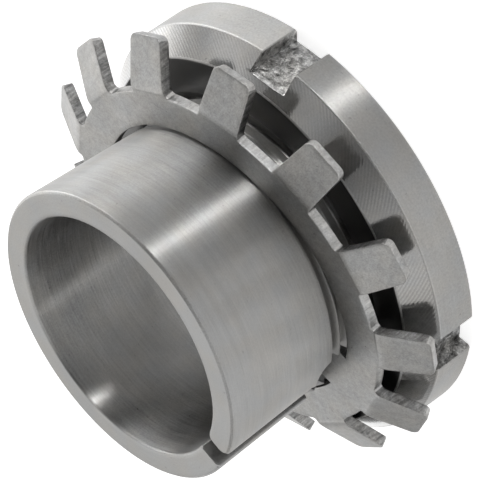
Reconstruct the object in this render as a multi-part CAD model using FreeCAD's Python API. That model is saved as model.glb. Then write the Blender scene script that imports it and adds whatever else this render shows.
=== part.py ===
import FreeCAD, Part
import math
import os

# Bearing adapter sleeve for a 30 mm shaft: a split tapered sleeve, a lock washer with
# bent tabs and a slotted lock nut. Millimetres, +Z up along the axis. The assembly stands
# on the back face of the nut, flush with the threaded end of the sleeve, and the origin
# is the centre of that face. +X points through the middle of the slit and the keyway.

V = FreeCAD.Vector
AXIS = V(0, 0, 1)
ORIGIN = V(0, 0, 0)

# Sleeve
shaft_bore = 30.0
sleeve_length = 29.0
taper = 1.0 / 12.0
thread_wall = 2.4
thread_length = 12.2
relief_width = 1.1
relief_depth = 0.85
cone_step = 0.15
thread_lead_in = 0.9
rim_chamfer = 0.3
bore_chamfer = 0.2
slit_width = 2.9
slit_lip_round = 0.8
slit_lip_break = 0.3
keyway_width = 9.5
keyway_overrun = 1.8
keyway_corner = 2.0

# Lock nut
nut_diameter = 52.0
nut_width = 8.0
nut_chamfer = 2.9
nut_edge_round = 0.5
nut_running_fit = 0.06
nut_front_countersink = 1.45
nut_back_countersink = 0.8
spanner_slots = 4
spanner_slot_width = 5.0
spanner_slot_depth = 2.0
spanner_slot_turn = 21.6

# Lock washer
washer_thickness = 1.25
washer_rim_inset = 0.65
washer_play = 0.58
washer_near_gap = 0.24
washer_offset_side = 168.0
washer_tilt = 6.1
washer_low_side = -40.0
washer_to_nut = 0.1
tab_count = 13
tab_root_width = 5.7
tab_tip_width = 5.3
tab_root_flat = 0.3
tab_bend = 27.3
tab_bend_radius = 0.6
tab_run = 5.46
tab_corner = 0.9
notch_corner = 0.5
tongue_width = 7.0
tongue_to_shaft = 0.4
tongue_corner = 0.6

# Radii and heights that follow from the sizes above
bore_r = shaft_bore / 2
thread_r = bore_r + thread_wall
relief_r = thread_r - relief_depth
cone_z = thread_length + relief_width
cone_small_r = thread_r + cone_step
cone_large_r = cone_small_r + (sleeve_length - cone_z) * taper / 2
nut_r = nut_diameter / 2
nut_bore_r = thread_r + nut_running_fit
contact_face_r = nut_r - nut_chamfer
slot_floor_r = nut_r - spanner_slot_depth
tilt = math.radians(washer_tilt)
bend = math.radians(tab_bend)
low_side = math.radians(washer_low_side)
offset_side = math.radians(washer_offset_side)
washer_bore_r = thread_r + washer_play
washer_ring_r = contact_face_r - washer_rim_inset
washer_offset = washer_play - washer_near_gap
tongue_tip_r = bore_r + tongue_to_shaft + washer_offset

# The washer hangs tilted. On its low side the underside of the tabs, from the end of
# the bend on, passes the rim of the nut's contact face with the gap washer_to_nut.
bend_end_x = washer_ring_r + tab_root_flat + tab_bend_radius * math.sin(bend)
bend_end_z = -washer_thickness / 2 - tab_bend_radius * (1 - math.cos(bend))
low_x = (bend_end_x * math.cos(tilt) + bend_end_z * math.sin(tilt)
         + washer_offset * math.cos(offset_side - low_side))
low_z = bend_end_z * math.cos(tilt) - bend_end_x * math.sin(tilt)
washer_z = (nut_width + washer_to_nut / math.cos(bend + tilt) - low_z
            + (contact_face_r - low_x) * math.tan(bend + tilt))


def cone_radius(z):
    """Outside radius of the sleeve at height z, with the taper run on past its small end."""
    return cone_small_r + (z - cone_z) * taper / 2


def revolved(points):
    """Solid turned about the Z axis from (radius, height) points of half a section."""
    corners = [V(r, 0, z) for r, z in points]
    face = Part.Face(Part.makePolygon(corners + corners[:1]))
    return face.revolve(ORIGIN, AXIS, 360)


def upright_edges(shape, x, y, reach):
    """Edges of the shape that run mostly along Z and whose middle is near (x, y) in plan."""
    found = []
    for edge in shape.Edges:
        box = edge.BoundBox
        if box.ZLength < 2 * max(box.XLength, box.YLength, 0.1):
            continue
        middle = edge.valueAt((edge.FirstParameter + edge.LastParameter) / 2)
        if math.hypot(middle.x - x, middle.y - y) < reach:
            found.append(edge)
    return found


def make_sleeve():
    """Split taper sleeve: ground cone, thread relief, threaded end with its keyway."""
    blank = revolved([
        (bore_r, 0),
        (thread_r - thread_lead_in, 0),
        (thread_r, thread_lead_in),
        (thread_r, thread_length),
        (relief_r, thread_length + relief_depth / 2),
        (relief_r, cone_z),
        (cone_small_r, cone_z),
        (cone_large_r, sleeve_length),
        (bore_r, sleeve_length),
    ])
    slit = Part.makeBox(cone_large_r + 1, slit_width, sleeve_length + 2,
                        V(0, -slit_width / 2, -1))
    sleeve = blank.cut(slit)

    # The two long lips of the slit: one well rounded, the other only deburred
    half = slit_width / 2
    lip_r = cone_radius((cone_z + sleeve_length) / 2)
    for side, radius in ((1, slit_lip_round), (-1, slit_lip_break)):
        for r in (bore_r, lip_r):
            x = math.sqrt(r * r - half * half)
            edges = upright_edges(sleeve, x, side * half, 0.4)
            sleeve = sleeve.makeFillet(radius, edges)

    keyway = Part.makeBox(cone_large_r + 1, keyway_width, cone_z + keyway_overrun + 1,
                          V(0, -keyway_width / 2, -1))
    closed_end = [e for e in keyway.Edges
                  if e.BoundBox.XLength > cone_large_r and e.BoundBox.ZMin > 0]
    sleeve = sleeve.cut(keyway.makeFillet(keyway_corner, closed_end))

    # Turned chamfers: both bore mouths and the outer rim of the large end
    top = sleeve_length
    bore_breaks = [
        revolved([(bore_r - 1, -1), (bore_r + bore_chamfer + 1, -1), (bore_r - 1, bore_chamfer + 1)]),
        revolved([(bore_r - 1, top + 1), (bore_r + bore_chamfer + 1, top + 1),
                  (bore_r - 1, top - bore_chamfer - 1)]),
    ]
    rim = cone_large_r
    rim_break = revolved([(rim - rim_chamfer - 1, top + 1), (rim + 1, top + 1),
                          (rim + 1, top - rim_chamfer - 1)])
    return sleeve.cut(bore_breaks + [rim_break])


def make_nut():
    """Lock nut: turned blank with a broad chamfer towards the washer and spanner slots."""
    back, front = nut_back_countersink, nut_front_countersink
    r = nut_edge_round
    corners = [
        V(nut_bore_r, 0, back),
        V(nut_bore_r + back, 0, 0),
        V(nut_r - r, 0, 0),
        V(nut_r, 0, r),
        V(nut_r, 0, nut_width - nut_chamfer),
        V(contact_face_r, 0, nut_width),
        V(nut_bore_r + front, 0, nut_width),
        V(nut_bore_r, 0, nut_width - front),
    ]
    middle = V(nut_r - r + r * math.sin(math.pi / 4), 0, r - r * math.cos(math.pi / 4))
    outline = [
        Part.LineSegment(corners[0], corners[1]),
        Part.LineSegment(corners[1], corners[2]),
        Part.Arc(corners[2], middle, corners[3]),
    ]
    outline += [Part.LineSegment(a, b) for a, b in zip(corners[3:], corners[4:] + corners[:1])]
    section = Part.Face(Part.Wire([piece.toShape() for piece in outline]))
    nut = section.revolve(ORIGIN, AXIS, 360)
    slots = []
    for i in range(spanner_slots):
        slot = Part.makeBox(spanner_slot_depth + 2, spanner_slot_width, nut_width + 2,
                            V(slot_floor_r, -spanner_slot_width / 2, -1))
        slot.rotate(ORIGIN, AXIS, spanner_slot_turn + i * 360.0 / spanner_slots)
        slots.append(slot)
    return nut.cut(slots)


def bent_tab():
    """One outer tab, along +X, narrowing to its tip and bent down about its root."""
    start = washer_ring_r + tab_root_flat
    inner = tab_bend_radius
    outer = inner + washer_thickness
    centre = V(start, 0, -inner)

    def on_bend(radius, angle):
        return centre + V(radius * math.sin(angle), 0, radius * math.cos(angle))

    run = V(tab_run * math.cos(bend), 0, -tab_run * math.sin(bend))
    under = [on_bend(inner, 0), on_bend(inner, bend / 2), on_bend(inner, bend)]
    over = [on_bend(outer, 0), on_bend(outer, bend / 2), on_bend(outer, bend)]
    outline = [
        Part.Arc(*under),
        Part.LineSegment(under[2], under[2] + run),
        Part.LineSegment(under[2] + run, over[2] + run),
        Part.LineSegment(over[2] + run, over[2]),
        Part.Arc(over[2], over[1], over[0]),
        Part.LineSegment(over[0], under[0]),
    ]
    section = Part.Face(Part.Wire([piece.toShape() for piece in outline]))
    half_root, half_tip = tab_root_width / 2, tab_tip_width / 2
    section.translate(V(0, -half_root, 0))
    tab = section.extrude(V(0, tab_root_width, 0))

    # Take the two long sides in towards the tip
    under_tip = under[2] + run
    over_tip = over[2] + run
    floor = under_tip.z - 1
    waste = []
    for side in (1, -1):
        corners = [V(start, side * half_root, floor), V(over_tip.x, side * half_tip, floor),
                   V(over_tip.x, side * (half_root + 1), floor), V(start, side * (half_root + 1), floor)]
        plan = Part.Face(Part.makePolygon(corners + corners[:1]))
        waste.append(plan.extrude(V(0, 0, over[0].z + 1 - floor)))
    tab = tab.cut(waste)
    tip_edges = [e for e in tab.Edges
                 if e.BoundBox.YLength < 0.1 * washer_thickness and e.BoundBox.XMin > under_tip.x - 0.01]
    return tab.makeFillet(tab_corner, tip_edges)


def make_washer():
    """Lock washer stamped from sheet: ring, inner tongue and bent outer tabs, as it hangs."""
    turns = [i * 360.0 / tab_count for i in range(tab_count)]
    half = tab_root_width / 2
    disc = Part.makeCylinder(washer_ring_r, washer_thickness)
    roots = []
    tabs = []
    for turn in turns:
        root = Part.makeBox(washer_ring_r + tab_root_flat - washer_bore_r, tab_root_width,
                            washer_thickness, V(washer_bore_r, -half, 0))
        root.rotate(ORIGIN, AXIS, turn)
        roots.append(root)
        tab = bent_tab()
        tab.rotate(ORIGIN, AXIS, turn)
        tabs.append(tab)
    plate = disc.fuse(roots).removeSplitter()
    notch_x = math.sqrt(washer_ring_r ** 2 - half ** 2)
    notch_edges = []
    for turn in turns:
        angle = math.radians(turn)
        for side in (-half, half):
            x = notch_x * math.cos(angle) - side * math.sin(angle)
            y = notch_x * math.sin(angle) + side * math.cos(angle)
            notch_edges += [e for e in plate.Edges
                            if e.BoundBox.ZLength > 0.9 * washer_thickness
                            and math.hypot(e.CenterOfMass.x - x, e.CenterOfMass.y - y) < 0.05]
    plate = plate.makeFillet(notch_corner, notch_edges)
    plate = plate.cut(Part.makeCylinder(washer_bore_r, washer_thickness + 2, V(0, 0, -1)))

    tongue_root = (washer_bore_r + washer_ring_r) / 2
    tongue = Part.makeBox(tongue_root - tongue_tip_r, tongue_width, washer_thickness,
                          V(tongue_tip_r, -tongue_width / 2, 0))
    tip_edges = [e for e in tongue.Edges
                 if e.BoundBox.ZLength > 0.9 * washer_thickness and e.BoundBox.XMax < tongue_tip_r + 0.1]
    washer = plate.fuse([tongue.makeFillet(tongue_corner, tip_edges)] + tabs).removeSplitter()

    # As it hangs on the sleeve: tilted, and a little off the axis
    washer.translate(V(0, 0, -washer_thickness / 2))
    washer.rotate(ORIGIN, V(-math.sin(low_side), math.cos(low_side), 0), washer_tilt)
    washer.translate(V(washer_offset * math.cos(offset_side), washer_offset * math.sin(offset_side),
                       washer_z))
    return washer


def save(name, shape):
    """Write one solid to its STEP file and say what it measures."""
    solid = shape.Solids[0]
    shape.exportStep("parts/" + name + ".step")
    box = shape.BoundBox
    print(name, "solids", len(shape.Solids), "valid", shape.isValid(), "volume", round(solid.Volume, 1),
          "z", round(box.ZMin, 3), "to", round(box.ZMax, 3))


os.makedirs("parts", exist_ok=True)
save("taper_sleeve", make_sleeve())
save("lock_nut", make_nut())
save("lock_washer", make_washer())
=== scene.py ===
import math

import bpy
import numpy as np
from mathutils import Matrix, Vector
from mathutils.geometry import delaunay_2d_cdt


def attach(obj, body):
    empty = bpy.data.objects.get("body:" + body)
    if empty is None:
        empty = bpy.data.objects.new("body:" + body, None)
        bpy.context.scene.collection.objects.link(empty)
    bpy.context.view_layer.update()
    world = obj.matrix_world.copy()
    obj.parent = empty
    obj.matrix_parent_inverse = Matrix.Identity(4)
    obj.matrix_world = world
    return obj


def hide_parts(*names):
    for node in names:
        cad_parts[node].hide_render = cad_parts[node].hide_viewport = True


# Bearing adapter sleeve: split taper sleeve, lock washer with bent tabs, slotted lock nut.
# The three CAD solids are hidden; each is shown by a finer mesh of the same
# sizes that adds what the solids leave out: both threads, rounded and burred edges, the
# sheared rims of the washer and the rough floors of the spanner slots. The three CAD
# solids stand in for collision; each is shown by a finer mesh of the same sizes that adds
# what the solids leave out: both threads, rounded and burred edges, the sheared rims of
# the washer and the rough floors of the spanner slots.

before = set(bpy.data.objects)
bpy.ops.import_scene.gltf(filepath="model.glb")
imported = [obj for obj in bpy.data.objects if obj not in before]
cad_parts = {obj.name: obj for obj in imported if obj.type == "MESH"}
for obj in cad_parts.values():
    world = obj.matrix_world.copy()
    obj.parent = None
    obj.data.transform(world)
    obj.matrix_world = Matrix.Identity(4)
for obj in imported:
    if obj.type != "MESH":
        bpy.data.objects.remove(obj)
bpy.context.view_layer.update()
MM = 0.001

# Sizes of the taper sleeve, in millimetres, as in its CAD source
BORE_R = 15.0
LENGTH = 29.0
TAPER = 1.0 / 12.0
THREAD_R = 17.4
THREAD_LENGTH = 12.2
THREAD_LEAD_IN = 0.9
RELIEF_DEPTH = 0.85
RELIEF_R = THREAD_R - RELIEF_DEPTH
CONE_Z = 13.3
CONE_SMALL_R = 17.55
SLIT_HALF = 1.45
SLIT_LIP_ROUND = 0.8
SLIT_LIP_BREAK = 0.3
KEYWAY_HALF = 4.75
KEYWAY_END = 15.1
KEYWAY_CORNER = 2.0
KEYWAY_LIP = 0.12

# Thread: crests and roots of the sleeve and the nut, and where its flanks would meet
THREAD_PITCH = 1.5
FLANK_SLOPE = math.sqrt(3)
STEPS_PER_PITCH = 14
SLEEVE_SHARP_R = 17.562
SLEEVE_ROOT_R = RELIEF_R
NUT_SHARP_R = SLEEVE_SHARP_R + 0.12
NUT_CREST_R = 16.73
NUT_ROOT_R = 17.52

# Sizes of the lock nut
NUT_R = 26.0
NUT_WIDTH = 8.0
NUT_CHAMFER = 2.9
NUT_EDGE_ROUND = 0.5
NUT_BORE_R = 17.46
NUT_FRONT_SINK = 1.45
NUT_BACK_SINK = 0.8
CONTACT_R = NUT_R - NUT_CHAMFER
CHAMFER_Z = NUT_WIDTH - NUT_CHAMFER
SLOTS = 4
SLOT_FLOOR_R = 24.0
SLOT_HALF = 2.5
SLOT_TURN = math.radians(21.6)
SLOT_EDGE = 0.12

# Sizes of the lock washer, flat unless it says bent
PLATE = 1.25
PLATE_EDGE = 0.10
RING_R = 22.45
RING_BORE_R = 17.98
TABS = 13
TAB_STEP = 2 * math.pi / TABS
TAB_ROOT_HALF = 2.85
TAB_TIP_HALF = 2.65
TAB_RUN = 5.46
TAB_CORNER = 0.9
NOTCH_CORNER = 0.5
BEND_START = RING_R + 0.3
BEND = math.radians(27.3)
BEND_INNER_R = 0.6
BEND_R = BEND_INNER_R + PLATE / 2
TAB_TIP = BEND_START + BEND_R * BEND + TAB_RUN
TONGUE_HALF = 3.5
TONGUE_TIP_R = 15.74
TONGUE_CORNER = 0.6

# Where the washer hangs
WASHER_TILT = math.radians(6.1)
WASHER_LOW_SIDE = math.radians(-40.0)
WASHER_OFFSET = 0.34
WASHER_OFFSET_SIDE = math.radians(168.0)
WASHER_TO_NUT = 0.1

rng = np.random.default_rng(7)


# Mesh building

def add_mesh(name, points, faces, smooth_angle=32.0):
    """One object from points in millimetres, smooth except over sharp edges."""
    mesh = bpy.data.meshes.new(name)
    mesh.from_pydata((np.asarray(points) * MM).tolist(), [], faces)
    mesh.validate()
    mesh.update()
    mesh.shade_smooth()
    mesh.set_sharp_from_angle(angle=math.radians(smooth_angle))
    obj = bpy.data.objects.new(name, mesh)
    bpy.context.scene.collection.objects.link(obj)
    return obj


def skin(rows, closed_rows):
    """Points and quads of a surface through closed loops of equal point count."""
    rows = np.asarray(rows)
    count, size = rows.shape[:2]
    points = rows.reshape(-1, 3)
    faces = []
    last = count if closed_rows else count - 1
    for i in range(last):
        j = (i + 1) % count
        for k in range(size):
            m = (k + 1) % size
            faces.append((i * size + k, i * size + m, j * size + m, j * size + k))
    return points, faces


def merged(points, faces):
    """Joins points that fall in the same small cell and drops the faces that collapse."""
    cell = 1e-4
    keys = np.round(np.asarray(points) / cell).astype(np.int64)
    _, first, index = np.unique(keys, axis=0, return_index=True, return_inverse=True)
    index = index.reshape(-1)
    kept = np.asarray(points)[first]
    out = []
    for face in faces:
        loop = []
        for v in face:
            w = int(index[v])
            if not loop or loop[-1] != w:
                loop.append(w)
        if len(loop) > 1 and loop[0] == loop[-1]:
            loop.pop()
        if len(loop) >= 3 and len(set(loop)) == len(loop):
            out.append(tuple(loop))
    return kept, out


def thread_height(angle, z, sharp_r, low, high):
    """Radius of a right-hand 60 degree thread at an angle and a height."""
    turn = z / THREAD_PITCH - angle / (2 * math.pi)
    off = np.abs(turn - np.round(turn)) * THREAD_PITCH
    return np.clip(sharp_r - off * FLANK_SLOPE, low, high)


# Taper sleeve

def lip_arc(corner_r, half, radius, inner, count):
    """Rounded corner between a slit wall at y = half and a circle, from the wall to the circle."""
    ring = corner_r + radius if inner else corner_r - radius
    cy = half + radius
    cx = math.sqrt(ring * ring - cy * cy)
    end = math.atan2(cy, cx) - (math.pi if inner else 0.0)
    t = np.linspace(-math.pi / 2, end, count)
    return np.stack([cx + radius * np.cos(t), cy + radius * np.sin(t)], 1)


def sleeve_thread(angle, z, outer):
    """Radius of the sleeve's thread, cut off at an outer radius."""
    return np.minimum(outer, thread_height(angle, z, SLEEVE_SHARP_R, SLEEVE_ROOT_R, THREAD_R))


def arc_angles(path_up, path_down):
    """Angles from the end of one lip round the section to the end of the other, finer near both."""
    even = np.radians(np.arange(22, 339, 2.0))
    near_points = 9
    start = math.atan2(path_up[-1, 1], path_up[-1, 0])
    end = 2 * math.pi + math.atan2(path_down[-1, 1], path_down[-1, 0])
    return np.concatenate([np.linspace(start, even[0], near_points)[1:-1], even,
                           np.linspace(even[-1], end, near_points)[1:-1]])


def sleeve_loop(outer, inner, half, z_out, z_in, lips, threaded):
    """Closed loop of the C-shaped section: radii, half gap, heights outside and inside, lip radii."""
    wall_points, lip_points = 5, 7
    middles, out_halves, in_halves = [], [], []
    for side, radius in ((1, lips[0]), (-1, lips[1])):
        rim = outer
        if threaded:
            corner = side * math.asin((half + radius) / outer)
            rim = float(sleeve_thread(corner, z_out, outer))
        out_arc = lip_arc(rim, half, radius, False, lip_points)
        in_arc = lip_arc(inner, half, radius, True, lip_points)
        wall_x = np.linspace(in_arc[0, 0], out_arc[0, 0], wall_points + 2)[1:-1]
        middle = len(wall_x) // 2
        wall = np.stack([wall_x, np.full(len(wall_x), half)], 1)
        out_half = np.concatenate([wall[middle + 1:], out_arc])
        in_half = np.concatenate([wall[:middle][::-1], in_arc])
        for part in (out_half, in_half):
            part[:, 1] *= side
        middles.append(wall[middle][None] * (1, side))
        out_halves.append(out_half)
        in_halves.append(in_half)
    turn, bore_turn = arc_angles(*out_halves), arc_angles(*in_halves)
    outside = sleeve_thread(turn, z_out, outer) if threaded else outer
    outer_arc = np.stack([outside * np.cos(turn), outside * np.sin(turn)], 1)
    bore_arc = np.stack([inner * np.cos(bore_turn), inner * np.sin(bore_turn)], 1)
    out_path = np.concatenate([out_halves[0], outer_arc, out_halves[1][::-1]])
    in_path = np.concatenate([in_halves[0], bore_arc, in_halves[1][::-1]])
    loop = np.concatenate([middles[0], out_path, middles[1], in_path[::-1]])
    share = np.clip((np.hypot(loop[:, 0], loop[:, 1]) - inner) / (outer - inner), 0, 1)
    heights = z_in + (z_out - z_in) * share
    heights[1 + lip_points:1 + len(out_path) - lip_points] = z_out
    return np.column_stack([loop, heights])


def half_gap(z):
    """Half the width of the keyway or the slit at a height, with the keyway's round corners."""
    corner_z = KEYWAY_END - KEYWAY_CORNER
    if z <= corner_z:
        return KEYWAY_HALF
    if z <= KEYWAY_END:
        reach = math.sqrt(max(KEYWAY_CORNER ** 2 - (z - corner_z) ** 2, 0.0))
        return KEYWAY_HALF - KEYWAY_CORNER + reach
    return SLIT_HALF


def cone_radius(z):
    """Outside radius of the tapered part at a height."""
    return CONE_SMALL_R + (z - CONE_Z) * TAPER / 2


def sleeve_loops():
    """Loops of the section from the thin end to the large end."""
    loops = []

    def put(outer, z, threaded=False, bore=BORE_R, z_bore=None, half=None, lips=None):
        if half is None:
            half = half_gap(z)
        if lips is None:
            lips = (SLIT_LIP_ROUND, SLIT_LIP_BREAK) if z > KEYWAY_END + 0.01 else (KEYWAY_LIP, KEYWAY_LIP)
        loops.append(sleeve_loop(outer, bore, half, z, z if z_bore is None else z_bore, lips, threaded))

    # Thin end with its thread
    lead_r = THREAD_R - THREAD_LEAD_IN
    put(lead_r - 0.02, 0.0, bore=BORE_R + 0.22)
    put(lead_r + 0.03, 0.03, bore=BORE_R + 0.17)
    z = 0.1
    while z < THREAD_LENGTH + 0.02:
        put(min(THREAD_R, lead_r + z), z, True, bore=BORE_R + max(0.0, 0.2 - z))
        z += THREAD_PITCH / STEPS_PER_PITCH

    # Relief groove, then the shoulder up to the cone with its worn edge
    for share in (0.33, 0.67, 0.95):
        put(THREAD_R - RELIEF_DEPTH * share, THREAD_LENGTH + RELIEF_DEPTH / 2 * share + 0.03)
    for raised, z in ((0.0, 12.68), (0.0, 13.0), (0.0, 13.2), (0.02, 13.27), (0.08, 13.30)):
        put(RELIEF_R + raised, z)
    for raised, z in ((-0.10, 13.305), (-0.03, 13.33), (0.003, 13.40)):
        put(CONE_SMALL_R + raised, z)

    # Keyway's rounded end, close together where it narrows fast, and its step to the slit
    for z in (13.6, 13.9, 14.2, 14.45, 14.65, 14.8, 14.92, 15.0, 15.06, 15.09, KEYWAY_END):
        put(cone_radius(z), z)
    put(cone_radius(15.13), 15.13, half=SLIT_HALF + KEYWAY_LIP, lips=(KEYWAY_LIP, KEYWAY_LIP))
    put(cone_radius(15.2), 15.2, lips=(0.3, 0.2))

    # Cone, then the large end's rounded edges: drop outside, height, widening and height of the bore
    for z in np.linspace(15.7, 28.3, 26):
        put(cone_radius(z), float(z))
    put(cone_radius(28.62), 28.62)
    rim_r = cone_radius(28.7)
    for drop, z, widened, z_bore in ((0.015, 28.7, 0.0, 28.7), (0.05, 28.76, 0.0, 28.78),
                                     (0.24, 28.95, 0.02, 28.83), (0.29, 28.99, 0.16, 28.97),
                                     (0.36, LENGTH, 0.22, LENGTH)):
        put(rim_r - drop, z, bore=BORE_R + widened, z_bore=z_bore)
    return loops


def end_face(loop):
    """Loops from the rim of an end inwards to the middle line of its face."""
    partner = -np.arange(len(loop)) % len(loop)
    middle = (loop + loop[partner]) / 2
    return [loop + (middle - loop) * share for share in (0.3, 0.65, 1.0)]


def make_sleeve():
    loops = sleeve_loops()
    loops = end_face(loops[0])[::-1] + loops + end_face(loops[-1])
    return add_mesh("sleeve_ground", *merged(*skin(loops, False)), smooth_angle=28)


# Lock nut

def noise_field(u, v, seed, waves=26, low=1.0, high=9.0):
    """Smooth repeatable roughness from a sum of waves, about -1 to 1."""
    source = np.random.default_rng(seed)
    total = np.zeros(np.broadcast(u, v).shape)
    for _ in range(waves):
        size = math.exp(source.uniform(math.log(low), math.log(high)))
        way = source.uniform(0, 2 * math.pi)
        phase = source.uniform(0, 2 * math.pi)
        total += np.sin(size * (u * math.cos(way) + v * math.sin(way)) + phase) / size ** 0.4
    return total / (0.35 * waves)


def turned(points, angle):
    """Flat points turned about the axis."""
    c, s = math.cos(angle), math.sin(angle)
    return points @ np.array([[c, s], [-s, c]])


def slot_floor(y, z, seed):
    """Rough height of a broached slot floor over its plain radius, fading out at the walls."""
    depth, fineness, fade_width = 0.07, 1.6, 0.3
    fade = min(1.0, (SLOT_HALF - abs(y)) / fade_width)
    return depth * fade * noise_field(y * fineness, z * fineness, seed)


def nut_contour(rim, z):
    """Closed outer contour of the nut at one height, with its four spanner slots."""
    points = []
    quarter = 2 * math.pi / SLOTS
    corner = math.asin(SLOT_HALF / rim)
    wall_r = np.array([rim - SLOT_EDGE, rim - 0.5, rim - 1.0, rim - 1.5, SLOT_FLOOR_R + 0.1, SLOT_FLOOR_R])
    wall_r = np.minimum(np.maximum(wall_r, np.hypot(SLOT_FLOOR_R, SLOT_HALF)), rim)
    wall_x = np.sqrt(wall_r ** 2 - SLOT_HALF ** 2)
    for i in range(SLOTS):
        local = [(x, -SLOT_HALF) for x in wall_x]
        for y in np.linspace(-SLOT_HALF, SLOT_HALF, 31)[1:-1]:
            rough = slot_floor(y, z, 40 + i) if rim > SLOT_FLOOR_R + 0.2 else 0.0
            local.append((min(SLOT_FLOOR_R + rough, math.sqrt(rim * rim - y * y)), y))
        local += [(x, SLOT_HALF) for x in wall_x[::-1]]
        for angle in np.linspace(corner + SLOT_EDGE / rim, quarter - corner - SLOT_EDGE / rim, 46):
            local.append((rim * math.cos(angle), rim * math.sin(angle)))
        points.append(turned(np.array(local), SLOT_TURN + i * quarter))
    return np.concatenate(points)


def nut_profile():
    """(radius, height) up the outside: rounded back edge, rim, chamfer, edge of the contact face."""
    profile = []
    for t in np.linspace(0, math.pi / 2, 6):
        profile.append((NUT_R - NUT_EDGE_ROUND + NUT_EDGE_ROUND * math.sin(t),
                        NUT_EDGE_ROUND - NUT_EDGE_ROUND * math.cos(t)))
    for z in np.linspace(NUT_EDGE_ROUND, CHAMFER_Z - 0.05, 32)[1:]:
        profile.append((NUT_R, z))
    for share in np.linspace(0.02, 0.98, 30):
        profile.append((NUT_R - NUT_CHAMFER * share, NUT_WIDTH - NUT_CHAMFER * (1 - share)))
    profile.append((CONTACT_R - 0.04, NUT_WIDTH))
    return profile


def make_nut():
    rows = []
    for radius, z in nut_profile():
        flat = nut_contour(radius, z)
        rows.append(np.column_stack([flat, np.full(len(flat), z)]))
    angles = np.unwrap(np.arctan2(rows[-1][:, 1], rows[-1][:, 0]))

    def put_ring(radius, z):
        rows.append(np.column_stack([radius * np.cos(angles), radius * np.sin(angles),
                                     np.full(len(angles), z)]))

    # Contact face, then down the countersinks and the thread to the back face
    front_sink_r = NUT_BORE_R + NUT_FRONT_SINK
    back_sink_r = NUT_BORE_R + NUT_BACK_SINK
    for radius in np.linspace(CONTACT_R - 0.3, front_sink_r + 0.05, 5):
        put_ring(radius, NUT_WIDTH)
    z = NUT_WIDTH - 0.03
    while z > 0.05:
        sink = max(front_sink_r - (NUT_WIDTH - z), back_sink_r - z)
        put_ring(np.maximum(thread_height(angles, z, NUT_SHARP_R, NUT_CREST_R, NUT_ROOT_R), sink), z)
        z -= THREAD_PITCH / STEPS_PER_PITCH
    for radius in (back_sink_r + 0.03, 20.0, 22.5):
        put_ring(radius, 0.0)
    return add_mesh("nut_turned", *merged(*skin(rows, True)), smooth_angle=34)


# Lock washer

def arc_points(centre, radius, start, end, spacing):
    """Points along an arc, about the spacing apart, at least three."""
    count = max(3, int(abs(end - start) * radius / spacing) + 1)
    t = np.linspace(start, end, count)
    return np.stack([centre[0] + radius * np.cos(t), centre[1] + radius * np.sin(t)], 1)


def line_points(a, b, spacing):
    """Points along a straight line, about the spacing apart, at least two."""
    count = max(2, int(math.dist(a, b) / spacing) + 1)
    t = np.linspace(0, 1, count)[:, None]
    return np.array(a) * (1 - t) + np.array(b) * t


def without_repeats(points):
    """A closed outline without the points that all but repeat the one before."""
    closest = 0.03
    keep = [0]
    for i in range(1, len(points)):
        if np.linalg.norm(points[i] - points[keep[-1]]) > closest:
            keep.append(i)
    if np.linalg.norm(points[keep[-1]] - points[0]) < closest:
        keep.pop()
    return points[keep]


def blank_outline(spacing):
    """Outer edge of the flat blank, counter-clockwise."""
    fillet_r = RING_R + NOTCH_CORNER
    fillet_y = TAB_ROOT_HALF + NOTCH_CORNER
    fillet_x = math.sqrt(fillet_r ** 2 - fillet_y ** 2)
    meet = math.atan2(fillet_y, fillet_x)
    corner_x = TAB_TIP - TAB_CORNER
    corner_y = TAB_TIP_HALF - TAB_CORNER
    right = math.pi / 2
    tab = np.concatenate([
        arc_points((0, 0), RING_R, -TAB_STEP / 2, -meet, spacing),
        arc_points((fillet_x, -fillet_y), NOTCH_CORNER, math.pi - meet, right, 0.09),
        line_points((fillet_x, -TAB_ROOT_HALF), (corner_x, -TAB_TIP_HALF), spacing),
        arc_points((corner_x, -corner_y), TAB_CORNER, -right, 0, 0.11),
        line_points((TAB_TIP, -corner_y), (TAB_TIP, corner_y), spacing),
        arc_points((corner_x, corner_y), TAB_CORNER, 0, right, 0.11),
        line_points((corner_x, TAB_TIP_HALF), (fillet_x, TAB_ROOT_HALF), spacing),
        arc_points((fillet_x, fillet_y), NOTCH_CORNER, -right, meet - math.pi, 0.09),
        arc_points((0, 0), RING_R, meet, TAB_STEP / 2, spacing),
    ])
    return without_repeats(np.concatenate([turned(tab, k * TAB_STEP) for k in range(TABS)]))


def bore_outline(spacing):
    """Inner edge of the flat blank with its tongue, counter-clockwise."""
    meet = math.asin(TONGUE_HALF / RING_BORE_R)
    x = RING_BORE_R * math.cos(meet)
    inner = TONGUE_HALF - TONGUE_CORNER
    tip = TONGUE_TIP_R + TONGUE_CORNER
    local = [
        arc_points((0, 0), RING_BORE_R, meet, 2 * math.pi - meet, spacing),
        line_points((x, -TONGUE_HALF), (tip, -TONGUE_HALF), spacing),
        arc_points((tip, -inner), TONGUE_CORNER, -math.pi / 2, -math.pi, 0.1),
        line_points((TONGUE_TIP_R, -inner), (TONGUE_TIP_R, inner), spacing),
        arc_points((tip, inner), TONGUE_CORNER, math.pi, math.pi / 2, 0.1),
        line_points((tip, TONGUE_HALF), (x, TONGUE_HALF), spacing),
    ]
    return without_repeats(np.concatenate(local))


def loop_normals(loop):
    """Unit normals to the right of a loop's direction: outward on a counter-clockwise loop."""
    ahead = np.roll(loop, -1, 0) - loop
    ahead /= np.linalg.norm(ahead, axis=1)[:, None]
    along = ahead + np.roll(ahead, 1, 0)
    along /= np.linalg.norm(along, axis=1)[:, None]
    return np.stack([along[:, 1], -along[:, 0]], 1)


def inside(points, loop):
    """Even-odd test of points against one closed loop."""
    x, y = points[:, 0][:, None], points[:, 1][:, None]
    ax, ay = loop[:, 0], loop[:, 1]
    bx, by = np.roll(ax, -1), np.roll(ay, -1)
    crosses = (ay > y) != (by > y)
    with np.errstate(divide="ignore", invalid="ignore"):
        at = (bx - ax) * (y - ay) / (by - ay) + ax
    return (np.sum(crosses & (x < at), axis=1) % 2) == 1


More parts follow.
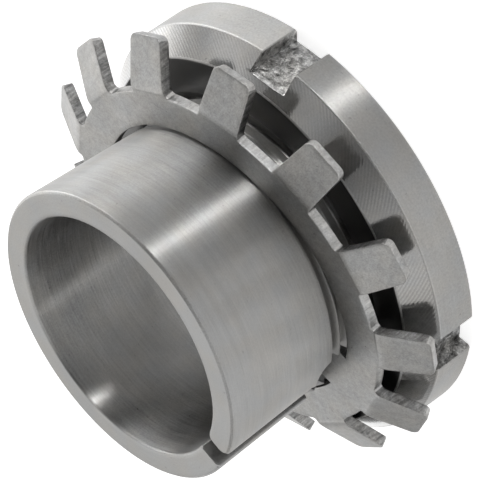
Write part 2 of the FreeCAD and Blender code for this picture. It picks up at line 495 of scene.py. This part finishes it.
def tab_angle(points):
    """Angle of the tab that each point is nearest to."""
    return np.round(np.arctan2(points[:, 1], points[:, 0]) / TAB_STEP) * TAB_STEP


def crease(past):
    """Height of the press mark on the outside of a bend: a ridge, then a shallow dip."""
    ridge, ridge_middle, ridge_width = 0.03, 0.02, 0.11
    dip, dip_middle, dip_width = 0.02, 0.5, 0.25
    return (ridge * np.exp(-((past - ridge_middle) / ridge_width) ** 2)
            - dip * np.exp(-((past - dip_middle) / dip_width) ** 2))


def bent(points):
    """Blank points (x, y, height over the middle plane) with every tab bent towards the nut."""
    radius = np.hypot(points[:, 0], points[:, 1])
    tab = tab_angle(points)
    c, s = np.cos(tab), np.sin(tab)
    u = points[:, 0] * c + points[:, 1] * s
    v = -points[:, 0] * s + points[:, 1] * c
    w = points[:, 2]
    past = u - BEND_START
    turn = np.clip(past / BEND_R, 0, BEND)
    rest = np.maximum(past - BEND_R * BEND, 0)
    on_tab = radius > RING_R - 0.5
    w = w + np.where((w > PLATE / 2 - PLATE_EDGE) & on_tab, crease(past), 0.0)
    new_u = BEND_START + (BEND_R + w) * np.sin(turn) + rest * np.cos(turn)
    new_w = (BEND_R + w) * np.cos(turn) - BEND_R - rest * np.sin(turn)
    moved = (past > 0) & on_tab
    new_u = np.where(moved, new_u, u)
    new_w = np.where(moved, new_w, w)
    return np.stack([new_u * c - v * s, new_u * s + v * c, new_w], 1)


def washer_height():
    """Height of the washer's middle plane, from the gap it keeps to the nut."""
    end_x = BEND_START + BEND_INNER_R * math.sin(BEND)
    end_z = -PLATE / 2 - BEND_INNER_R * (1 - math.cos(BEND))
    low_x = (end_x * math.cos(WASHER_TILT) + end_z * math.sin(WASHER_TILT)
             + WASHER_OFFSET * math.cos(WASHER_OFFSET_SIDE - WASHER_LOW_SIDE))
    low_z = end_z * math.cos(WASHER_TILT) - end_x * math.sin(WASHER_TILT)
    slope = BEND + WASHER_TILT
    return (NUT_WIDTH + WASHER_TO_NUT / math.cos(slope) - low_z
            + (CONTACT_R - low_x) * math.tan(slope))


# Middle of the tilted washer and its upward direction
WASHER_PLACE = (WASHER_OFFSET * math.cos(WASHER_OFFSET_SIDE), WASHER_OFFSET * math.sin(WASHER_OFFSET_SIDE),
                washer_height())
WASHER_AXIS = (math.sin(WASHER_TILT) * math.cos(WASHER_LOW_SIDE),
               math.sin(WASHER_TILT) * math.sin(WASHER_LOW_SIDE), math.cos(WASHER_TILT))


def plate_points(outer, inner):
    """Points inside the plate: an even spread, slightly shaken, and rows across each bend."""
    reach, size, shake = 29.5, 0.62, 0.08
    grid = []
    for j, y in enumerate(np.arange(-reach, reach, size * 0.866)):
        for x in np.arange(-reach, reach, size):
            grid.append((x + (j % 2) * size / 2, y))
    grid = np.array(grid) + rng.uniform(-shake, shake, (len(grid), 2))
    tab = tab_angle(grid)
    past = grid[:, 0] * np.cos(tab) + grid[:, 1] * np.sin(tab) - BEND_START
    grid = grid[(past < -0.45) | (past > 1.1)]
    past_bend_start = (-0.3, -0.18, -0.09, 0.0, 0.09, 0.18, 0.3, 0.44, 0.584, 0.72, 0.9)
    row_half = TAB_TIP_HALF - 0.2
    rows = np.array([(BEND_START + u, v) for u in past_bend_start
                     for v in np.linspace(-row_half, row_half, 13)])
    points = np.concatenate([grid] + [turned(rows, k * TAB_STEP) for k in range(TABS)])
    points = points[inside(points, outer) & ~inside(points, inner)]
    rim = np.concatenate([outer, inner])
    to_rim = np.array([np.min(np.hypot(*(rim - p).T)) for p in points])
    return points[to_rim > 0.12]


def plate_mesh(outer, inner):
    """Triangles of the flat plate between two closed loops, and where each rim point went."""
    n_out, n_in = len(outer), len(inner)
    coords = np.concatenate([outer, inner, plate_points(outer, inner)])
    edges = [(i, (i + 1) % n_out) for i in range(n_out)]
    edges += [(n_out + i, n_out + (i + 1) % n_in) for i in range(n_in)]
    out = delaunay_2d_cdt([Vector(c) for c in coords], edges, [], 0, 1e-7, True)
    flat = np.array([tuple(v) for v in out[0]])
    tris = np.array(out[2])
    place = {}
    for new, olds in enumerate(out[3]):
        for old in olds:
            place[old] = new
    middle = flat[tris].mean(axis=1)
    tris = tris[inside(middle, outer) & ~inside(middle, inner)]
    side_a = flat[tris[:, 1]] - flat[tris[:, 0]]
    side_b = flat[tris[:, 2]] - flat[tris[:, 0]]
    clockwise = side_a[:, 0] * side_b[:, 1] - side_a[:, 1] * side_b[:, 0] < 0
    tris[clockwise] = tris[clockwise][:, ::-1]
    return flat, tris, place


def rim_levels():
    """(distance outwards, height) down the plate's edge: rounded corner, sheared wall, corner."""
    corner = []
    for degrees in (30, 60, 90):
        turn = math.radians(degrees)
        corner.append((PLATE_EDGE * math.sin(turn) - PLATE_EDGE,
                       PLATE / 2 - PLATE_EDGE * (1 - math.cos(turn))))
    wall = [(0.0, (PLATE / 2 - PLATE_EDGE) * share) for share in (0.5, 0.0, -0.5)]
    return corner + wall + [(out, -height) for out, height in corner[::-1]]


def make_washer():
    outer = blank_outline(0.2)
    inner = bore_outline(0.25)
    outer_n, inner_n = loop_normals(outer), -loop_normals(inner)
    flat, tris, place = plate_mesh(outer - outer_n * PLATE_EDGE, inner - inner_n * PLATE_EDGE)
    count = len(flat)
    points = [np.column_stack([flat, np.full(count, height)]) for height in (PLATE / 2, -PLATE / 2)]
    faces = [tuple(int(i) for i in t) for t in tris]
    faces += [tuple(int(i) + count for i in t[::-1]) for t in tris]

    # Both rims, with a torn surface from the first corner's end to the second one's start
    sheared_depth = 0.018
    base = 2 * count
    for loop, normal, first in ((outer, outer_n, 0), (inner, inner_n, len(outer))):
        size = len(loop)
        walk = np.cumsum(np.linalg.norm(loop - np.roll(loop, 1, 0), axis=1))
        rings = [np.array([place[first + i] for i in range(size)])]
        for level, (out, height) in enumerate(rim_levels()):
            off = np.full(size, out)
            if 2 <= level <= 6:
                off += sheared_depth * noise_field(walk * 2.0, height * 2.5, 11 + first, low=1.5, high=7)
            points.append(np.column_stack([loop + normal * off[:, None], np.full(size, height)]))
            rings.append(np.arange(base, base + size))
            base += size
        rings.append(rings[0] + count)
        for a, b in zip(rings, rings[1:]):
            for i in range(size):
                j = (i + 1) % size
                quad = (a[i], b[i], b[j], a[j])
                faces.append(tuple(int(q) for q in (quad if loop is outer else quad[::-1])))

    level_line = Vector((-math.sin(WASHER_LOW_SIDE), math.cos(WASHER_LOW_SIDE), 0))
    tilt = np.array(Matrix.Rotation(WASHER_TILT, 3, level_line))
    points = bent(np.concatenate(points)) @ tilt.T + WASHER_PLACE
    return add_mesh("washer_sheet", points, faces, smooth_angle=38)


# Materials

class Nodes:
    """A node tree whose nodes are added by short calls that return output sockets."""

    def __init__(self, tree):
        self.nodes = tree.nodes
        self.links = tree.links

    def feed(self, socket, value):
        if isinstance(value, bpy.types.NodeSocket):
            self.links.new(value, socket)
        else:
            socket.default_value = value

    def math(self, operation, *values):
        node = self.nodes.new("ShaderNodeMath")
        node.operation = operation
        for socket, value in zip(node.inputs, values):
            self.feed(socket, value)
        return node.outputs[0]

    def split(self, vector):
        node = self.nodes.new("ShaderNodeSeparateXYZ")
        self.links.new(vector, node.inputs[0])
        return node.outputs

    def joined(self, x, y, z):
        node = self.nodes.new("ShaderNodeCombineXYZ")
        for socket, value in zip(node.inputs, (x, y, z)):
            self.feed(socket, value)
        return node.outputs[0]


class Finish(Nodes):
    """A material with its place on the object in millimetres at hand."""

    def __init__(self, name):
        self.material = bpy.data.materials.new(name)
        self.material.use_nodes = True
        super().__init__(self.material.node_tree)
        self.shader = self.nodes["Principled BSDF"]
        place = self.nodes.new("ShaderNodeTexCoord").outputs["Object"]
        self.place = self.scaled(place, 1 / MM)
        self.x, self.y, self.z = self.split(self.place)
        length = self.nodes.new("ShaderNodeVectorMath")
        length.operation = "LENGTH"
        self.links.new(self.joined(self.x, self.y, 0.0), length.inputs[0])
        self.radius = length.outputs["Value"]

    def scaled(self, vector, scale):
        node = self.nodes.new("ShaderNodeVectorMath")
        node.operation = "SCALE"
        self.links.new(vector, node.inputs[0])
        self.feed(node.inputs["Scale"], scale)
        return node.outputs["Vector"]

    def noise(self, vector, scale, detail=2.0, rough=0.5, distortion=0.0):
        node = self.nodes.new("ShaderNodeTexNoise")
        node.inputs["Scale"].default_value = scale
        node.inputs["Detail"].default_value = detail
        node.inputs["Roughness"].default_value = rough
        node.inputs["Distortion"].default_value = distortion
        self.links.new(vector, node.inputs["Vector"])
        return node.outputs["Fac"]

    def span(self, value, low, high, to_low, to_high):
        node = self.nodes.new("ShaderNodeMapRange")
        for socket, number in zip(node.inputs, (value, low, high, to_low, to_high)):
            self.feed(socket, number)
        return node.outputs[0]

    def spread(self, noise, middle, reach):
        """The usual range of a noise, 0.3 to 0.7, spread to either side of a middle value."""
        return self.span(noise, 0.3, 0.7, middle - reach, middle + reach)

    def blend(self, share, colour_a, colour_b):
        node = self.nodes.new("ShaderNodeMix")
        node.data_type = "RGBA"
        self.feed(node.inputs["Factor"], share)
        node.inputs[6].default_value = (*colour_a, 1)
        node.inputs[7].default_value = (*colour_b, 1)
        return node.outputs[2]

    def bump(self, height, distance, normal=None):
        node = self.nodes.new("ShaderNodeBump")
        node.inputs["Strength"].default_value = 1.0
        node.inputs["Distance"].default_value = distance
        self.links.new(height, node.inputs["Height"])
        if normal is not None:
            self.links.new(normal, node.inputs["Normal"])
        return node.outputs[0]

    def brushed_round_axis(self, amount):
        """Scratches that run round the axis, so highlights stretch across them."""
        tangent = self.nodes.new("ShaderNodeTangent")
        tangent.direction_type = "RADIAL"
        tangent.axis = "Z"
        self.links.new(tangent.outputs[0], self.shader.inputs["Tangent"])
        self.shader.inputs["Anisotropic"].default_value = amount
        self.shader.inputs["Anisotropic Rotation"].default_value = 0.25


def steel(name, colour, rough, brushed=0.0, lines=None, cloud=0.08, grain=(6.0, 0.05, 0.004),
          specks=0.0, hatch=0.0, mottle=None, grooves=None):
    """One steel finish. Tones say how far the colour goes up and down, depths are in millimetres.

    cloud: tone of slow clouds. grain: density, tone and depth of fine grain. lines: the same for
    turning lines round the axis. hatch: tone of slanted chatter marks. grooves: density and tone
    of grooves along the axis. mottle: density, tone and depth of coarse spots. specks: how dark
    small specks are. brushed: how far highlights stretch across the turning lines.
    """
    g = Finish(name)
    shader = g.shader
    shader.inputs["Metallic"].default_value = 1.0
    level = g.spread(g.noise(g.place, 0.13, 3.0, 0.55), 1, cloud)
    density, tone, depth = grain
    fine = g.noise(g.place, density, 2.0, 0.6)
    level = g.math("MULTIPLY", level, g.spread(fine, 1, tone))
    rough_level = g.spread(fine, rough, 0.04)
    normal = g.bump(fine, depth * MM)
    if lines:
        density, tone, depth = lines
        along, weak = 0.05, 0.4
        across = g.math("ADD", g.z, g.radius)
        run = g.joined(g.math("MULTIPLY", g.x, along), g.math("MULTIPLY", g.y, along), across)
        thin = g.noise(run, density, 3.0, 0.7)
        wide = g.noise(run, density * 0.3, 2.0, 0.6)
        level = g.math("MULTIPLY", level, g.spread(thin, 1, tone))
        level = g.math("MULTIPLY", level, g.spread(wide, 1, tone * weak))
        rough_level = g.math("ADD", rough_level, g.spread(thin, 0, tone * weak))
        normal = g.bump(thin, depth * MM, normal)
    if hatch:
        chamfer_middle_r, rise, radians_per_mm, hatch_depth = 24.5, 1.7, 11.0, 0.0015
        turn = g.math("MULTIPLY", g.math("ARCTAN2", g.y, g.x), chamfer_middle_r)
        slant = g.math("ADD", turn, g.math("MULTIPLY", g.z, rise))
        wave = g.math("SINE", g.math("MULTIPLY", slant, radians_per_mm))
        patch = g.span(g.noise(g.place, 0.25, 1.0), 0.4, 0.6, 0.2, 1.0)
        wave = g.math("MULTIPLY", wave, patch)
        level = g.math("MULTIPLY", level, g.span(wave, -1, 1, 1 - hatch, 1 + hatch))
        normal = g.bump(wave, hatch_depth * MM, normal)
    if grooves:
        density, tone = grooves
        run = g.joined(g.x, g.y, g.math("MULTIPLY", g.z, 0.12))
        level = g.math("MULTIPLY", level, g.spread(g.noise(run, density, 2.0, 0.6), 1, tone))
    if mottle:
        density, tone, depth = mottle
        coarse = g.noise(g.place, density, 3.0, 0.65, 0.4)
        level = g.math("MULTIPLY", level, g.spread(coarse, 1, tone))
        normal = g.bump(coarse, depth * MM, normal)
    if specks:
        spot = g.span(g.noise(g.place, 1.9, 1.0, 0.5), 0.745, 0.8, 0.0, specks)
        level = g.math("MULTIPLY", level, g.math("SUBTRACT", 1.0, spot))
    tint = g.span(g.noise(g.place, 0.3, 2.0), 0.35, 0.65, 0.0, 1.0)
    warm = (colour * 1.02, colour, colour * 0.965)
    cool = (colour * 0.995, colour, colour)
    g.links.new(g.scaled(g.blend(tint, warm, cool), level), shader.inputs["Base Color"])
    g.links.new(rough_level, shader.inputs["Roughness"])
    g.links.new(normal, shader.inputs["Normal"])
    if brushed:
        g.brushed_round_axis(brushed)
    return g.material


def paint(obj, materials, choose):
    """Gives each face one of the materials, by its centre in millimetres and its normal."""
    mesh = obj.data
    for material in materials:
        mesh.materials.append(material)
    count = len(mesh.polygons)
    centre = np.empty(count * 3)
    normal = np.empty(count * 3)
    mesh.polygons.foreach_get("center", centre)
    mesh.polygons.foreach_get("normal", normal)
    index = choose(centre.reshape(-1, 3) / MM, normal.reshape(-1, 3))
    mesh.polygons.foreach_set("material_index", index.astype(np.int32))


def sleeve_zones(centre, normal):
    """0 ground outside, 1 bore, 2 end faces, 3 slit and keyway walls, 4 rounded edge of the large end,
    painted highlight.
    """
    x, y, z = centre.T
    outward = (x * normal[:, 0] + y * normal[:, 1]) / np.hypot(x, y)
    zone = np.zeros(len(centre))
    zone[outward < -0.6] = 1
    zone[np.abs(normal[:, 2]) > 0.8] = 2
    zone[(x > 0) & (np.abs(normal[:, 1]) > 0.9) & (np.abs(y) < KEYWAY_HALF + 0.25)] = 3
    # Rounded edge of the large end: painted highlight.
    zone[(z > LENGTH - 0.7) & (outward > 0) & (np.abs(normal[:, 2] - 0.5) < 0.3)] = 4
    return zone


def nut_zones(centre, normal):
    """0 outside, 1 chamfer, 2 slots, 3 bore and thread, 4 back, 5 contact face, painted shade, 6 chamfer
    edges, painted highlight.
    """
    x, y, z = centre.T
    radius = np.hypot(x, y)
    front_z, thread_reach_r = NUT_WIDTH - 1.5, 19
    zone = np.zeros(len(centre))
    zone[(z > CHAMFER_Z - 0.03) & (radius > thread_reach_r)] = 1
    zone[z < 0.03] = 4
    # Contact face under the washer: painted shade.
    zone[(z > front_z) & (radius > NUT_ROOT_R + 0.08) & (radius < CONTACT_R - 0.04)] = 5
    zone[(z <= front_z) & (radius < thread_reach_r)] = 3
    # Thin strips along the chamfer's edges: painted highlight.
    zone[(z > NUT_WIDTH - 0.16) & (np.abs(radius - CONTACT_R - 0.05) < 0.1)] = 6
    zone[(np.abs(z - CHAMFER_Z - 0.03) < 0.1) & (radius > NUT_R - 0.25)] = 6
    surface = NUT_R - np.clip(z - CHAMFER_Z, 0, None)
    in_slot = (radius < surface - 0.05) & (radius > SLOT_FLOOR_R - 0.5) & (z > 0.02)
    for i in range(SLOTS):
        along, across = turned(centre[:, :2], -SLOT_TURN - i * 2 * math.pi / SLOTS).T
        zone[in_slot & (along > 20) & (np.abs(across) < SLOT_HALF + 0.02)] = 2
    return zone


def washer_zones(centre, normal):
    """0 rolled face, 1 sheared sides, partly painted shade, 2 face on the nut's side, painted shade, 3 edges
    that face outwards.
    """
    from_middle = centre - np.array(WASHER_PLACE)
    upright = normal @ np.array(WASHER_AXIS)
    outward = np.sum(from_middle * normal, axis=1) / np.linalg.norm(from_middle, axis=1)
    zone = np.zeros(len(centre))
    # Faces turned towards the nut get a darker colour: painted shade.
    zone[upright < -0.45] = 2
    # Edges turned sideways or inwards get the darker sheared colour: torn steel's own tone, plus painted
    # shade.
    zone[np.abs(upright) < 0.45] = 1
    zone[(np.abs(upright) < 0.6) & (outward > 0.55)] = 3
    return zone


# Finishes: name, colour, roughness, and marks
GROUND = steel("ground_steel_finish", 0.36, 0.40, brushed=1.0, lines=(5.5, 0.13, 0.004), cloud=0.06,
               grain=(5.0, 0.09, 0.004), specks=0.2)
BORE = steel("bore_finish", 0.41, 0.36, brushed=1.0, lines=(5.0, 0.17, 0.005), cloud=0.16,
             grain=(5.0, 0.12, 0.004), specks=0.15)
FACE = steel("turned_face_finish", 0.35, 0.42, brushed=0.5, lines=(6.0, 0.03, 0.001), cloud=0.05,
             grain=(5.0, 0.09, 0.004), specks=0.3)
SAWN = steel("slit_finish", 0.25, 0.45, cloud=0.15, mottle=(1.5, 0.15, 0.01))
SATIN = steel("turned_rim_finish", 0.39, 0.40, brushed=1.0, lines=(6.0, 0.06, 0.003), cloud=0.06,
              grain=(4.0, 0.14, 0.006), specks=0.3)
CHAMFER = steel("chamfer_finish", 0.46, 0.12, brushed=0.3, lines=(5.0, 0.05, 0.001), cloud=0.08,
                grain=(5.0, 0.08, 0.004), hatch=0.11, specks=0.3)
SLOT = steel("slot_floor_finish", 0.30, 0.36, cloud=0.2, grain=(5.0, 0.35, 0.06),
             mottle=(1.2, 0.8, 0.16))
# Painted shade: the nut's contact face under the washer is coloured dark for the shade there.
CONTACT_SHADE = steel("contact_face_painted_shade_finish", 0.15, 0.32, brushed=0.4, cloud=0.15)
# Painted highlight: a lighter colour on thin strips along rounded edges, for the light they catch.
EDGE_HIGHLIGHT = steel("edge_painted_highlight_finish", 0.44, 0.45, grain=(5.0, 0.15, 0.004))
THREAD = steel("thread_finish", 0.33, 0.3, brushed=0.5, lines=(5.0, 0.1, 0.002), cloud=0.1)
BACK = steel("back_face_finish", 0.36, 0.32, brushed=0.7, lines=(3.0, 0.08, 0.004), cloud=0.08)
SHEET = steel("tumbled_sheet_finish", 0.38, 0.42, cloud=0.10, grain=(5.0, 0.16, 0.014),
              mottle=(1.3, 0.12, 0.016), specks=0.4)
PRESSED = steel("pressed_edge_finish", 0.36, 0.42, cloud=0.15, grain=(5.0, 0.15, 0.014),
                mottle=(1.5, 0.15, 0.02), grooves=(2.6, 0.2))
# Painted shade: the washer's face on the nut's side is coloured darker for the shade under it.
UNDERSIDE_SHADE = steel("underside_painted_shade_finish", 0.2, 0.42, cloud=0.15, grain=(5.0, 0.16, 0.014), mottle=(1.3, 0.15, 0.016))
# Sheared edges that don't face outwards: the torn steel's darker tone, darkened further as painted shade.
SHEARED_AND_SHADED = steel("sheared_edge_and_painted_shade_finish", 0.19, 0.38, cloud=0.2, grain=(5.0, 0.2, 0.02),
                mottle=(1.5, 0.3, 0.03), grooves=(2.6, 0.45))

# The three pieces

sleeve = make_sleeve()
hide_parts("taper_sleeve")
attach(sleeve, "sleeve")
paint(sleeve, (GROUND, BORE, FACE, SAWN, EDGE_HIGHLIGHT), sleeve_zones)

nut = make_nut()
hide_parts("lock_nut")
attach(nut, "nut")
paint(nut, (SATIN, CHAMFER, SLOT, THREAD, BACK, CONTACT_SHADE, EDGE_HIGHLIGHT), nut_zones)

washer = make_washer()
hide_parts("lock_washer")
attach(washer, "washer")
paint(washer, (SHEET, SHEARED_AND_SHADED, UNDERSIDE_SHADE, PRESSED), washer_zones)

# Floor, camera, light

# The floor lies just under the part. Its glow is only for the camera, gloss and glass.
FLOOR_HALF = 3.0
FLOOR_DROP = 0.00002
FLOOR_SHADE = 0.85
FLOOR_GLOW = 0.72

# Where the camera stands as seen from the part, its roll, and how far off its axis the part is, in mm
CAMERA_AZIMUTH = math.radians(77.95)
CAMERA_ELEVATION = math.radians(28.59)
CAMERA_ROLL = math.radians(-124.57)
CAMERA_DISTANCE = 482.8
PART_OFF_AXIS = (7.56, 3.88)
LENS_MM = 322.95
SENSOR_MM = 36.0


def add_floor():
    """A wide pale floor that the camera, gloss and glass see as white, with the part's shadow."""
    mesh = bpy.data.meshes.new("floor")
    s = FLOOR_HALF
    mesh.from_pydata([(-s, -s, 0), (s, -s, 0), (s, s, 0), (-s, s, 0)], [], [(0, 1, 2, 3)])
    obj = bpy.data.objects.new("floor", mesh)
    obj.location.z = -FLOOR_DROP
    bpy.context.scene.collection.objects.link(obj)
    paint_floor = bpy.data.materials.new("floor_paint")
    paint_floor.use_nodes = True
    mesh.materials.append(paint_floor)
    tree = Nodes(paint_floor.node_tree)
    tree.nodes.clear()
    output = tree.nodes.new("ShaderNodeOutputMaterial")
    diffuse = tree.nodes.new("ShaderNodeBsdfDiffuse")
    diffuse.inputs["Color"].default_value = (FLOOR_SHADE, FLOOR_SHADE, FLOOR_SHADE, 1)
    glow = tree.nodes.new("ShaderNodeEmission")
    ray = tree.nodes.new("ShaderNodeLightPath").outputs
    reflected = tree.math("MAXIMUM", ray["Is Glossy Ray"], ray["Is Transmission Ray"])
    seen = tree.math("MAXIMUM", ray["Is Camera Ray"], reflected)
    tree.feed(glow.inputs["Strength"], tree.math("MULTIPLY", seen, FLOOR_GLOW))
    both = tree.nodes.new("ShaderNodeAddShader")
    tree.feed(both.inputs[0], diffuse.outputs[0])
    tree.feed(both.inputs[1], glow.outputs[0])
    tree.feed(output.inputs["Surface"], both.outputs[0])


def add_camera():
    """A camera on the photographer's spot, with the part a little right of and above its axis."""
    data = bpy.data.cameras.new("camera")
    data.sensor_width = SENSOR_MM
    data.lens = LENS_MM
    data.clip_start, data.clip_end = 0.05, 20.0
    back = Vector((math.cos(CAMERA_AZIMUTH) * math.cos(CAMERA_ELEVATION),
                   math.sin(CAMERA_AZIMUTH) * math.cos(CAMERA_ELEVATION), math.sin(CAMERA_ELEVATION)))
    level = Vector((0, 0, 1)).cross(back).normalized()
    right = Matrix.Rotation(CAMERA_ROLL, 3, back) @ level
    up = back.cross(right)
    place = (back * CAMERA_DISTANCE - right * PART_OFF_AXIS[0] - up * PART_OFF_AXIS[1]) * MM
    obj = bpy.data.objects.new("camera", data)
    obj.matrix_world = Matrix.Translation(place) @ Matrix((right, up, back)).transposed().to_4x4()
    bpy.context.scene.collection.objects.link(obj)
    bpy.context.scene.camera = obj


# The room's white is a little warm
ROOM_TINT = (1.0, 0.995, 0.985, 1)

# Soft lights of the room: azimuth, elevation, half width, half height in degrees, brightness
LIGHTS = {
    "window_behind_left": (158, 3, 13, 8, 7.8),
    "window_behind": (189, 2, 20, 8, 9.2),
    "pale_wall_behind": (240, 4, 24, 10, 1.6),
    "card_at_left": (226, 20, 20, 12, 0.75),
    "pale_wall_right": (300, 4, 22, 10, 0.45),
    "strip_at_right": (2, 4, 29, 10, 2.2),
    "small_lamp_near_camera": (110, 4, 2.7, 2.7, 105.0),
    "card_at_right": (46, 20, 28, 16, 1.05),
    "far_wall": (240, 20, 75, 16, 0.35),
    "far_wall_upper": (252, 38, 52, 18, 0.85),
    "wall_behind_upper": (178, 36, 22, 15, 0.55),
    "ceiling_right": (350, 56, 65, 24, 0.82),
    "ceiling_left": (130, 56, 28, 15, 0.42),
    "ceiling_far": (252, 60, 52, 21, 1.15),
    "ceiling": (0, 90, 180, 26, 0.2),
}


def add_world():
    """A dim room lit by soft lights, each fading from its middle in both directions."""
    world = bpy.data.worlds.new("studio")
    bpy.context.scene.world = world
    world.use_nodes = True
    tree = Nodes(world.node_tree)

    def closeness(angle, middle, half_size):
        """0 at the middle of a light, -1 at its half size."""
        aside = tree.math("COSINE", tree.math("SUBTRACT", angle, math.radians(middle)))
        sharpness = 1 / (1 - math.cos(math.radians(half_size)))
        return tree.math("MULTIPLY_ADD", aside, sharpness, -sharpness)

    x, y, z = tree.split(tree.nodes.new("ShaderNodeTexCoord").outputs["Generated"])
    azimuth, elevation = tree.math("ARCTAN2", y, x), tree.math("ARCSINE", z)
    total = 0.0
    for side, height, half_width, half_height, brightness in LIGHTS.values():
        across = closeness(azimuth, side, half_width)
        fall = tree.math("ADD", across, closeness(elevation, height, half_height))
        glow = tree.math("MULTIPLY", tree.math("EXPONENT", fall), brightness)
        total = tree.math("ADD", glow, total)
    background = tree.nodes["Background"]
    background.inputs["Color"].default_value = ROOM_TINT
    tree.feed(background.inputs["Strength"], total)


bpy.context.scene.view_settings.view_transform = "Standard"
add_floor()
add_camera()
add_world()
